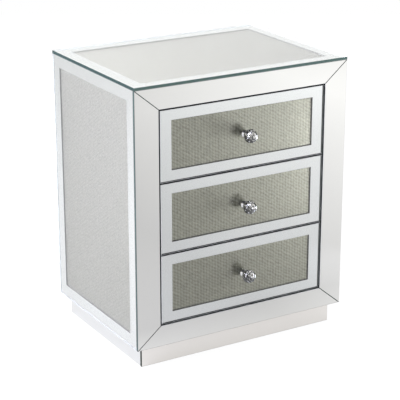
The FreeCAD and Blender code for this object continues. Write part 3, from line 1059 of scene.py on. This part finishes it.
@dataclass
class Joinery:
    """The boards and the hardware.

    Attributes:
        finishes: The finishes of the chest.
        girdle_limit: How far towards the back a crystal's facet faces from which it is on the girdle.
        foil_limit: How far towards the back it faces from which it is foiled.
    """

    finishes: Finishes
    girdle_limit: float = -0.2
    foil_limit: float = 0.3

    def node_finishes(self) -> dict[str, bpy.types.Material]:
        """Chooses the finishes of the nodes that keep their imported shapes.

        Returns:
            The finish of each node, by the node's name.
        """
        look = self.finishes
        chosen = {
            "top_board": look.carcass, "bottom_board": look.carcass, "back_panel": look.back_board,
            "face_rail_top": look.carcass, "face_rail_bottom": look.carcass,
            "plinth_front": look.plinth_paint, "plinth_back": look.plinth_paint,
            "plinth_sides": look.plinth_paint,
            "slide_channels": look.slide_steel,
        }
        for side in SIDE_NAMES:
            chosen[f"side_board_{side}"] = look.carcass
            chosen[f"face_stile_{side}"] = look.carcass
        in_drawer = {
            "drawer_front": look.carcass, "drawer_bottom": look.drawer_base,
            "knob_neck": look.chrome, "knob_crystal": look.crystal, "knob_screw": look.screw_steel,
            "slide_rails": look.slide_steel, "ball_cages": look.slide_steel,
        }
        for name in DRAWER_NAMES:
            for part, finish in in_drawer.items():
                chosen[f"{part}_{name}"] = finish
        return chosen

    def dress(self) -> None:
        """Gives every board and fitting its finish."""
        for node, material in self.node_finishes().items():
            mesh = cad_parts[node].data
            mesh.materials.clear()
            mesh.materials.append(material)
            LOG.info("node %s is %s", node, material.name)
        for board in self.boards():
            board.build()
        for name in DRAWER_NAMES:
            self.foil_crystal(f"knob_crystal_{name}")

    def boards(self) -> Iterator[RoundedBoard]:
        """Gives the boards whose edges are rounded.

        Returns:
            The boards, one at a time.
        """
        look = self.finishes
        yield RoundedBoard("runner_battens", "case", "batten_wood", look.batten, look.batten_worn)
        for name in DRAWER_NAMES:
            for part in ("sides", "back"):
                yield RoundedBoard(f"drawer_{part}_{name}", f"drawer_{name}", "drawer_wood",
                                   look.drawer, look.drawer_worn)

    def foil_crystal(self, node: str) -> None:
        """Foils the facets on the back and round the girdle of a crystal, as on a cut stone.

        Args:
            node: The crystal's node.
        """
        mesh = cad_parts[node].data
        mesh.materials.append(self.finishes.girdle)
        mesh.materials.append(self.finishes.foil)
        limits = (self.girdle_limit, self.foil_limit)
        for polygon in mesh.polygons:
            polygon.use_smooth = False
            polygon.material_index = sum(polygon.normal.y > limit for limit in limits)


# Studio

@dataclass(frozen=True)
class Lamp:
    """A soft lamp, as high as it is wide unless a height is given."""

    name: str
    place: Point
    size: float
    power: float
    tint: Colour = (1.0, 1.0, 1.0)
    height: float = 0.0

    def build(self, aim: Point) -> None:
        """Hangs the lamp.

        Args:
            aim: The point that it faces.
        """
        data = bpy.data.lights.new(self.name, "AREA")
        data.shape = "RECTANGLE"
        data.size = self.size
        data.size_y = self.height or self.size
        data.energy = self.power
        data.color = self.tint
        lamp = bpy.data.objects.new(self.name, data)
        lamp.location = self.place
        lamp.rotation_euler = (Vector(aim) - Vector(self.place)).to_track_quat("-Z", "Y").to_euler()
        bpy.context.scene.collection.objects.link(lamp)
        LOG.info("lamp %s hung", self.name)


@dataclass(frozen=True)
class SoftSide:
    """A broad glow of the surround from one side.

    Attributes:
        towards: Where the glow comes from.
        strength: How bright it is in the middle.
        tint: Its colour.
        fade: The power of the cosine with which a glow fades from its middle.
        rim: The cosine from the middle at which a box of light ends, or 0 for a glow that fades.
        rim_blur: How far the box's end is blurred to each side of that cosine.
    """

    towards: Point
    strength: float
    tint: Colour = (1.0, 1.0, 1.0)
    fade: float = 2.0
    rim: float = 0.0
    rim_blur: float = 0.04

    def light(self) -> Colour:
        """Gives the glow's colour at full strength."""
        return tuple(self.strength * part for part in self.tint)

    def share(self, sheet: NodeSheet, facing: bpy.types.NodeSocket) -> bpy.types.NodeSocket:
        """Adds the share of the glow that is seen in a direction.

        Args:
            sheet: The world's nodes.
            facing: The cosine between the direction and the glow's middle.

        Returns:
            The share.
        """
        if self.rim:
            return sheet.ramp(facing, self.rim - self.rim_blur, self.rim + self.rim_blur)
        return sheet.math("POWER", sheet.math("MAXIMUM", facing, 0.0), self.fade)


@dataclass(frozen=True)
class PaintedPaperGlow:
    """A painted glow on the paper that mirrors see: a slow change in how brightly it glows, standing
    in for uneven light in the studio.

    Attributes:
        axis: The axis along which it changes, X or Y.
        start: Where the change starts.
        end: Where it ends.
        rise: How much brighter the painted glow is from there on.
    """

    axis: str
    start: float
    end: float
    rise: float


@dataclass
class Studio:
    """A sheet of pale paper under the chest, soft light and a white surround.

    Attributes:
        sides: The glows of the surround.
        lamps: The lamps.
        lamp_aim: The point that the lamps face.
        ambient: The glow that comes from everywhere.
        paper_left: How far the paper reaches to the camera's left.
        paper_right: How far it reaches to the camera's right.
        paper_near: How far it reaches towards the camera.
        paper_far: How far it reaches away from the camera.
        paper_tint: The paper's colour.
        paper_roughness: How dull it is.
        camera_white: The even white that the camera sees of the paper.
        camera_share: How much of what the camera sees of it is that white, the rest being its shade.
        mirror_white: How white mirrors see the paper before the chest.
        mirror_shades: Painted light and shade on the paper that mirrors see: how that white changes
            elsewhere: to the right,
        to the left, beside and behind the plinth, far behind, and far before the chest.
        mirror_share: How much of what mirrors see of it is that white, the rest being its shade.
    """

    sides: tuple[SoftSide, ...]
    lamps: tuple[Lamp, ...]
    lamp_aim: Point = (0.0, 0.0, 0.3)
    ambient: float = 0.06
    paper_left: float = 2.9
    paper_right: float = 6.0
    paper_near: float = 4.2
    paper_far: float = 3.6
    paper_tint: Colour = (0.86, 0.86, 0.86)
    paper_roughness: float = 0.9
    camera_white: float = 1.06
    camera_share: float = 0.92
    mirror_white: float = 0.575
    # Painted light and shade on the paper, seen only by mirrors.
    mirror_shades: tuple[PaintedPaperGlow, ...] = (
        PaintedPaperGlow("X", start=0.18, end=1.54, rise=0.57),
        PaintedPaperGlow("X", start=-0.15, end=-0.7, rise=0.14),
        PaintedPaperGlow("Y", start=-0.38, end=-0.22, rise=0.19),
        PaintedPaperGlow("Y", start=0.6, end=1.3, rise=-0.05),
        PaintedPaperGlow("Y", start=-2.1, end=-3.6, rise=-0.3),
    )
    mirror_share: float = 0.85

    def build(self) -> None:
        """Builds the paper, the surround and the lamps."""
        self.build_paper()
        self.build_surround()
        for lamp in self.lamps:
            lamp.build(self.lamp_aim)
        LOG.info("studio built")

    def build_paper(self) -> None:
        """Lays the paper, which looks white and keeps the chest's shadow."""
        turn = math.radians(PHOTO_TURN_DEGREES)
        away = Vector((-math.sin(turn), math.cos(turn), 0.0))
        right = Vector((away.y, -away.x, 0.0))
        mesh = bmesh.new()
        corners = ((-self.paper_left, -self.paper_near), (self.paper_right, -self.paper_near),
                   (self.paper_right, self.paper_far), (-self.paper_left, self.paper_far))
        mesh.faces.new([mesh.verts.new(right * across + away * along) for across, along in corners])
        paper = finish_mesh("studio_paper", mesh, smooth=False)
        paper.data.materials.append(self.paper_material())

    def paper_material(self) -> bpy.types.Material:
        """Makes the paper's material.

        Returns:
            The material.
        """
        made = Material("studio_paper")
        made.set(Base_Color=self.paper_tint, Roughness=self.paper_roughness, Specular_IOR_Level=0.0)
        sheet = made.sheet
        path = sheet.add("LightPath").outputs
        mirrored = sheet.math("MAXIMUM", path["Is Glossy Ray"], path["Is Transmission Ray"])
        # The painted glow that mirrors see on the paper.
        reflected = sheet.add("Emission", {"Strength": self.painted_mirror_glow(sheet)})
        made.mix(sheet.math("MULTIPLY", mirrored, self.mirror_share), reflected)
        seen = sheet.add("Emission", {"Strength": self.camera_white})
        made.mix(sheet.math("MULTIPLY", path["Is Camera Ray"], self.camera_share), seen)
        return made.data

    def painted_mirror_glow(self, sheet: NodeSheet) -> bpy.types.NodeSocket:
        """Adds how brightly mirrors see the paper glow, with its painted light and shade: least before
        the chest, more elsewhere.

        Args:
            sheet: The paper's nodes.

        Returns:
            The white.
        """
        place = sheet.add("SeparateXYZ", {0: sheet.place()}).outputs
        white = self.mirror_white
        for shade in self.mirror_shades:
            change = sheet.ramp(place[shade.axis], shade.start, shade.end, 0.0, shade.rise)
            white = sheet.math("ADD", change, white)
        return white

    def build_surround(self) -> None:
        """Sets the world: white to the camera, glowing from the soft sides for all else."""
        world = bpy.data.worlds.new("studio_surround")
        world.use_nodes = True
        world.node_tree.nodes.clear()
        sheet = NodeSheet(world.node_tree)
        direction = sheet.add("TexCoord").outputs["Generated"]
        glow = (self.ambient, self.ambient, self.ambient)
        for side in self.sides:
            facing = sheet.add("VectorMath", {0: direction, 1: side.towards}, operation="DOT_PRODUCT")
            share = side.share(sheet, facing.outputs["Value"])
            part = sheet.add("VectorMath", {0: side.light(), "Scale": share}, operation="SCALE")
            glow = sheet.add("VectorMath", {0: glow, 1: part.outputs[0]}, operation="ADD").outputs[0]
        lit = sheet.add("Background", {"Color": glow})
        white = sheet.add("Background", {"Color": (1.0, 1.0, 1.0), "Strength": 1.0})
        to_camera = sheet.add("LightPath").outputs["Is Camera Ray"]
        both = sheet.add("MixShader", {"Fac": to_camera, 1: lit.outputs[0], 2: white.outputs[0]})
        sheet.add("OutputWorld", {"Surface": both.outputs[0]})
        bpy.context.scene.world = world


@dataclass
class PhotoCamera:
    """The camera at the photograph's viewing angle: its focal length is in the photograph's pixels."""

    place: Point = (-1.6889, -2.8338, 1.4639)
    turn_degrees: float = PHOTO_TURN_DEGREES
    tilt_degrees: float = 19.25
    focal_pixels: float = 1454.3
    frame_pixels: float = 400.0
    sensor_width: float = 36.0

    def build(self) -> None:
        """Makes the camera and gives it to the scene."""
        lens = bpy.data.cameras.new("photo_camera")
        lens.sensor_width = self.sensor_width
        lens.lens = self.focal_pixels / self.frame_pixels * self.sensor_width
        camera = bpy.data.objects.new("photo_camera", lens)
        camera.location = self.place
        tilt = math.radians(90.0 - self.tilt_degrees)
        camera.rotation_euler = (tilt, 0.0, math.radians(self.turn_degrees))
        bpy.context.scene.collection.objects.link(camera)
        bpy.context.scene.camera = camera
        LOG.info("camera placed")


def main() -> None:
    """Dresses the chest and sets up the studio."""
    logging.basicConfig(level=logging.INFO, format="%(name)s: %(message)s")
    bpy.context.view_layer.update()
    bpy.context.scene.view_settings.view_transform = "Standard"
    finishes = Finishes()
    Glazing(finishes).dress()
    Weaving(finishes).dress()
    Joinery(finishes).dress()
    cool = (0.9, 0.9, 1.04)
    warm = (1.0, 0.97, 0.89)
    sides = (
        SoftSide((0.51, 0.86, 0.0), strength=1.06),
        SoftSide((-0.86, 0.51, 0.0), strength=1.05, tint=cool),
        SoftSide((-0.85, -0.52, 0.08), strength=0.68, tint=warm, rim=0.92),
        SoftSide((0.5, -0.86, 0.0), strength=0.1),
    )
    lamps = (
        Lamp("left_light", (-2.2, 0.3, 1.6), size=1.6, power=127.0, tint=cool),
        Lamp("top_light", (-0.2, 0.9, 2.0), size=1.9, power=21.0),
        Lamp("right_light", (0.68, -0.48, 0.31), size=0.24, power=2.05, tint=(0.98, 0.985, 1.08),
             height=0.4),
    )
    Studio(sides, lamps).build()
    PhotoCamera().build()


if __name__ == "__main__":
    main()
